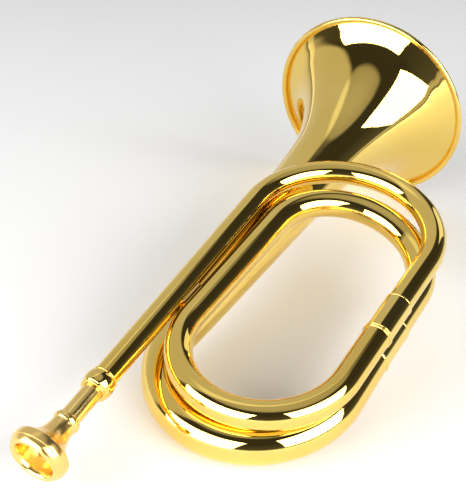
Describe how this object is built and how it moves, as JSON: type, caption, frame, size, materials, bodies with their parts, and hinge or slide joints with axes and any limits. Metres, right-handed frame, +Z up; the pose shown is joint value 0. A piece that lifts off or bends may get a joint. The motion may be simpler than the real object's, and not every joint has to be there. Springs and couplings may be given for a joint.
{
  "type": "bugle",
  "caption": "Compact bugle lying on its side: brass tube wound in a double loop, flared bell with a rolled rim, and a cup mouthpiece that pulls out.",
  "frame": {"origin": "middle of the bugle's footprint, on the floor that it lies on", "axes": "+Z up; +X along the bugle, from the mouthpiece to the bell; +Y towards the leadpipe and bell side of the coil"},
  "size_m": [0.3531, 0.1702, 0.1231],
  "materials": {
    "lacquered_brass": "mirror polished, clear lacquer",
    "ferrule_brass": "polished, clear lacquer",
    "mouthpiece_brass": "turned and polished, slightly duller than the tube",
    "solder": "wiped soft solder under lacquer",
    "rim_wire": "drawn wire, hidden inside the rolled rim"
  },
  "bodies": {
    "horn": {"bell_flare": "lacquered_brass", "bell_stem": "lacquered_brass", "bottom_bow_1": "lacquered_brass", "bottom_bow_2": "lacquered_brass", "ferrule_1": "ferrule_brass", "ferrule_2": "ferrule_brass", "leadpipe": "lacquered_brass", "leadpipe_bow": "lacquered_brass", "left_branch": "lacquered_brass", "lower_branch_1": "lacquered_brass", "lower_branch_2": "lacquered_brass", "mouthpiece_receiver": "ferrule_brass", "right_branch_1": "lacquered_brass", "right_branch_2": "lacquered_brass", "rim_wire": "rim_wire", "solder_leadpipe": "solder", "solder_right": "solder", "solder_stem": "solder", "top_bow_2": "lacquered_brass"},
    "mouthpiece": {"mouthpiece": "mouthpiece_brass"}
  },
  "joints": [
    {"name": "mouthpiece_pull", "type": "slide", "parent": "horn", "child": "mouthpiece", "axis": [-0.9812, -0.0426, -0.1883], "range_m": [0, 0.04]}
  ]
}
